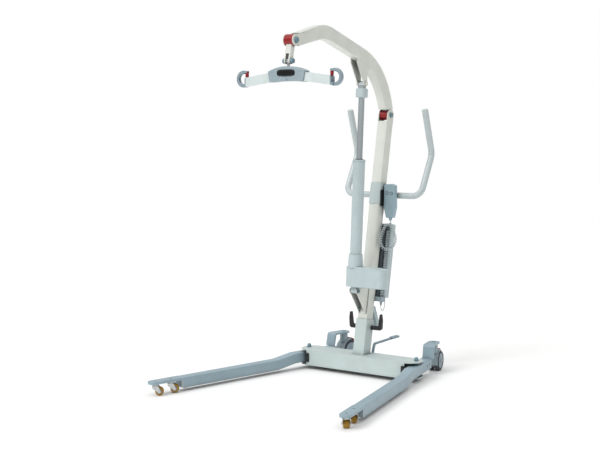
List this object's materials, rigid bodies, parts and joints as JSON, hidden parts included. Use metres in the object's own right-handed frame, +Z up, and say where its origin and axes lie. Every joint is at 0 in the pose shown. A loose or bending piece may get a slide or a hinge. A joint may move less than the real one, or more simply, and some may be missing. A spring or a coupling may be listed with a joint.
{
  "type": "patient lift hoist",
  "caption": "Mobile patient lift: spreading castor base, leaning mast, electric actuator, arched boom and swivelling sling bar with latched hooks.",
  "frame": {"origin": "on the floor, in the middle of the footprint with the legs open", "axes": "+Z up, the legs and the boom point to -Y, the push handle is on the +Y side, +X is to the right of a viewer who faces +Y"},
  "size_m": [1.0794, 1.2926, 1.6635],
  "materials": {
    "frame_paint": "satin powder coat",
    "beam_paint": "satin powder coat",
    "leg_paint": "satin powder coat",
    "handle_paint": "smooth powder coat",
    "housing_plastic": "fine grain",
    "handset_plastic": "fine grain",
    "grey_plastic": "satin",
    "hook_metal": "painted casting",
    "cap_plastic": "satin",
    "bolt_steel": "zinc plated",
    "fork_zinc": "bright zinc",
    "rod_chrome": "polished",
    "red_plastic": "semi gloss",
    "black_plastic": "satin",
    "lever_steel": "blue-grey coat",
    "amber_tread": "translucent polyurethane",
    "twin_wheel": "grey disc with dark tread"
  },
  "bodies": {
    "base": {"crossbeam": "beam_paint", "mast_socket": "beam_paint", "pivot_bolts": "bolt_steel"},
    "foot_lever": {"foot_lever": "lever_steel"},
    "mast": {"mast": "frame_paint", "boom_hinge_pin": "cap_plastic", "actuator_foot_bracket": "frame_paint", "actuator_foot_pin": "cap_plastic", "handlebar": "handle_paint", "handle_clamp": "beam_paint", "control_box": "housing_plastic", "battery_pack": "housing_plastic", "connector_block": "grey_plastic", "charge_socket": "housing_plastic", "handset": "handset_plastic", "handset_bracket": "black_plastic", "handset_cord": "handset_plastic", "motor_lead": "grey_plastic"},
    "emergency_stop": {"emergency_stop": "red_plastic"},
    "handset_button_up": {"handset_button_up": "handset_plastic"},
    "handset_button_down": {"handset_button_down": "handset_plastic"},
    "actuator": {"actuator_tube": "housing_plastic", "motor_housing": "housing_plastic"},
    "actuator_rod": {"actuator_rod": "rod_chrome", "rod_collar": "housing_plastic"},
    "boom": {"boom": "frame_paint", "boom_heel_barrel": "red_plastic", "actuator_head_bracket": "frame_paint", "boom_tip_pin": "cap_plastic"},
    "hanger": {"hanger_link": "frame_paint", "link_barrel": "red_plastic", "link_bolt": "bolt_steel"},
    "swivel_stem": {"swivel_stem": "bolt_steel"},
    "spreader": {"spreader_arms": "beam_paint", "spreader_cover": "grey_plastic", "sling_hooks": "hook_metal"},
    "leg_right": {"leg_right": "leg_paint", "leg_end_plug_right": "grey_plastic", "castor_bracket_right": "leg_paint"},
    "front_fork_tip_right": {"front_castor_fork_tip_right": "fork_zinc"},
    "front_wheel_tip_right": {"front_castor_wheel_tip_right": "amber_tread"},
    "front_fork_mid_right": {"front_castor_fork_mid_right": "fork_zinc"},
    "front_wheel_mid_right": {"front_castor_wheel_mid_right": "amber_tread"},
    "rear_housing_right": {"rear_castor_housing_right": "grey_plastic"},
    "rear_wheels_right": {"rear_castor_wheels_right": "twin_wheel"},
    "brake_pedal_right": {"brake_pedal_right": "red_plastic"},
    "clamp_lever_right": {"clamp_lever_right": "black_plastic"},
    "sling_latch_right": {"sling_latch_right": "red_plastic"},
    "leg_left": {"leg_left": "leg_paint", "leg_end_plug_left": "grey_plastic", "castor_bracket_left": "leg_paint"},
    "front_fork_tip_left": {"front_castor_fork_tip_left": "fork_zinc"},
    "front_wheel_tip_left": {"front_castor_wheel_tip_left": "amber_tread"},
    "front_fork_mid_left": {"front_castor_fork_mid_left": "fork_zinc"},
    "front_wheel_mid_left": {"front_castor_wheel_mid_left": "amber_tread"},
    "rear_housing_left": {"rear_castor_housing_left": "grey_plastic"},
    "rear_wheels_left": {"rear_castor_wheels_left": "twin_wheel"},
    "brake_pedal_left": {"brake_pedal_left": "red_plastic"},
    "clamp_lever_left": {"clamp_lever_left": "black_plastic"},
    "sling_latch_left": {"sling_latch_left": "red_plastic"}
  },
  "joints": [
    {"name": "leg_spread_right", "type": "hinge", "parent": "base", "child": "leg_right", "pos_m": [0.3084, 0.3125, 0.057], "axis": [0, 0, 1], "range_deg": [-12.39, 0]},
    {"name": "front_swivel_tip_right", "type": "hinge", "parent": "leg_right", "child": "front_fork_tip_right", "pos_m": [0.51138, -0.61147, 0.05], "axis": [0, 0, 1], "continuous": true},
    {"name": "front_wheel_roll_tip_right", "type": "hinge", "parent": "front_fork_tip_right", "child": "front_wheel_tip_right", "pos_m": [0.501, -0.59676, 0.02], "axis": [0.8171, 0.5764, 0], "continuous": true},
    {"name": "front_swivel_mid_right", "type": "hinge", "parent": "leg_right", "child": "front_fork_mid_right", "pos_m": [0.49314, -0.52845, 0.05], "axis": [0, 0, 1], "continuous": true},
    {"name": "front_wheel_roll_mid_right", "type": "hinge", "parent": "front_fork_mid_right", "child": "front_wheel_mid_right", "pos_m": [0.48276, -0.51374, 0.02], "axis": [0.8171, 0.5764, 0], "continuous": true},
    {"name": "rear_swivel_right", "type": "hinge", "parent": "leg_right", "child": "rear_housing_right", "pos_m": [0.26421, 0.5649, 0.13], "axis": [0, 0, 1], "continuous": true},
    {"name": "rear_wheel_roll_right", "type": "hinge", "parent": "rear_housing_right", "child": "rear_wheels_right", "pos_m": [0.25842, 0.59127, 0.05], "axis": [0.9767, 0.2146, 0], "continuous": true},
    {"name": "brake_press_right", "type": "hinge", "parent": "rear_housing_right", "child": "brake_pedal_right", "pos_m": [0.25842, 0.59127, 0.05], "axis": [-0.9767, -0.2146, 0], "range_deg": [0, 12]},
    {"name": "clamp_turn_right", "type": "hinge", "parent": "base", "child": "clamp_lever_right", "pos_m": [0, 0.3565, 0.224], "axis": [1, 0, 0], "range_deg": [-60, 60]},
    {"name": "latch_open_right", "type": "hinge", "parent": "spreader", "child": "sling_latch_right", "pos_m": [0.228, -0.29484, 1.449], "axis": [0, -1, 0], "range_deg": [0, 32], "stiffness_Nm_per_rad": 0.02},
    {"name": "leg_spread_left", "type": "hinge", "parent": "base", "child": "leg_left", "pos_m": [-0.3084, 0.3125, 0.057], "axis": [0, 0, 1], "range_deg": [0, 12.39]},
    {"name": "front_swivel_tip_left", "type": "hinge", "parent": "leg_left", "child": "front_fork_tip_left", "pos_m": [-0.51138, -0.61147, 0.05], "axis": [0, 0, 1], "continuous": true},
    {"name": "front_wheel_roll_tip_left", "type": "hinge", "parent": "front_fork_tip_left", "child": "front_wheel_tip_left", "pos_m": [-0.4966, -0.6012, 0.02], "axis": [0.5707, -0.8211, 0], "continuous": true},
    {"name": "front_swivel_mid_left", "type": "hinge", "parent": "leg_left", "child": "front_fork_mid_left", "pos_m": [-0.49314, -0.52845, 0.05], "axis": [0, 0, 1], "continuous": true},
    {"name": "front_wheel_roll_mid_left", "type": "hinge", "parent": "front_fork_mid_left", "child": "front_wheel_mid_left", "pos_m": [-0.47836, -0.51817, 0.02], "axis": [0.5707, -0.8211, 0], "continuous": true},
    {"name": "rear_swivel_left", "type": "hinge", "parent": "leg_left", "child": "rear_housing_left", "pos_m": [-0.26421, 0.5649, 0.13], "axis": [0, 0, 1], "continuous": true},
    {"name": "rear_wheel_roll_left", "type": "hinge", "parent": "rear_housing_left", "child": "rear_wheels_left", "pos_m": [-0.25842, 0.59127, 0.05], "axis": [0.9767, -0.2146, 0], "continuous": true},
    {"name": "brake_press_left", "type": "hinge", "parent": "rear_housing_left", "child": "brake_pedal_left", "pos_m": [-0.25842, 0.59127, 0.05], "axis": [-0.9767, 0.2146, 0], "range_deg": [0, 12]},
    {"name": "clamp_turn_left", "type": "hinge", "parent": "base", "child": "clamp_lever_left", "pos_m": [0, 0.3565, 0.224], "axis": [1, 0, 0], "range_deg": [-60, 60]},
    {"name": "latch_open_left", "type": "hinge", "parent": "spreader", "child": "sling_latch_left", "pos_m": [-0.228, -0.29484, 1.449], "axis": [0, 1, 0], "range_deg": [0, 32], "stiffness_Nm_per_rad": 0.02},
    {"name": "foot_lever_swing", "type": "hinge", "parent": "base", "child": "foot_lever", "pos_m": [0, 0.328, 0.053], "axis": [0, 0, 1], "range_deg": [0, 24.78]},
    {"name": "mast_lift_out", "type": "slide", "parent": "base", "child": "mast", "axis": [0, 0.1852, 0.9827], "range_m": [0, 0.15]},
    {"name": "emergency_stop_press", "type": "slide", "parent": "mast", "child": "emergency_stop", "axis": [0, -0.9827, 0.1852], "range_m": [0, 0.004], "stiffness_N_per_m": 1200},
    {"name": "button_up_press", "type": "slide", "parent": "mast", "child": "handset_button_up", "axis": [0, 1, 0], "range_m": [0, 0.0015], "stiffness_N_per_m": 600},
    {"name": "button_down_press", "type": "slide", "parent": "mast", "child": "handset_button_down", "axis": [0, 1, 0], "range_m": [0, 0.0015], "stiffness_N_per_m": 600},
    {"name": "boom_lift", "type": "hinge", "parent": "mast", "child": "boom", "pos_m": [0, 0.53473, 1.261], "axis": [-1, 0, 0], "range_deg": [-58, 0]},
    {"name": "actuator_tilt", "type": "hinge", "parent": "mast", "child": "actuator", "pos_m": [0, 0.2495, 0.415], "axis": [1, 0, 0], "range_deg": [-0.5, 1.5]},
    {"name": "actuator_extend", "type": "slide", "parent": "actuator", "child": "actuator_rod", "axis": [0, 0.0612, 0.9981], "range_m": [-0.27, 0]},
    {"name": "hanger_swing", "type": "hinge", "parent": "boom", "child": "hanger", "pos_m": [0, -0.2755, 1.583], "axis": [1, 0, 0], "range_deg": [-70, 30]},
    {"name": "stem_swing", "type": "hinge", "parent": "hanger", "child": "swivel_stem", "pos_m": [0, -0.29484, 1.49203], "axis": [1, 0, 0], "range_deg": [-20, 20]},
    {"name": "spreader_turn", "type": "hinge", "parent": "swivel_stem", "child": "spreader", "pos_m": [0, -0.29484, 1.44], "axis": [0, 0, 1], "continuous": true}
  ],
  "couplings": [
    {"joint": "leg_spread_left", "follows": "leg_spread_right", "ratio": -1},
    {"joint": "foot_lever_swing", "follows": "leg_spread_right", "ratio": -2},
    {"joint": "actuator_tilt", "follows": "boom_lift", "ratio": -0.006704},
    {"joint": "actuator_extend", "follows": "boom_lift", "m_per_rad": 0.25781}
  ]
}
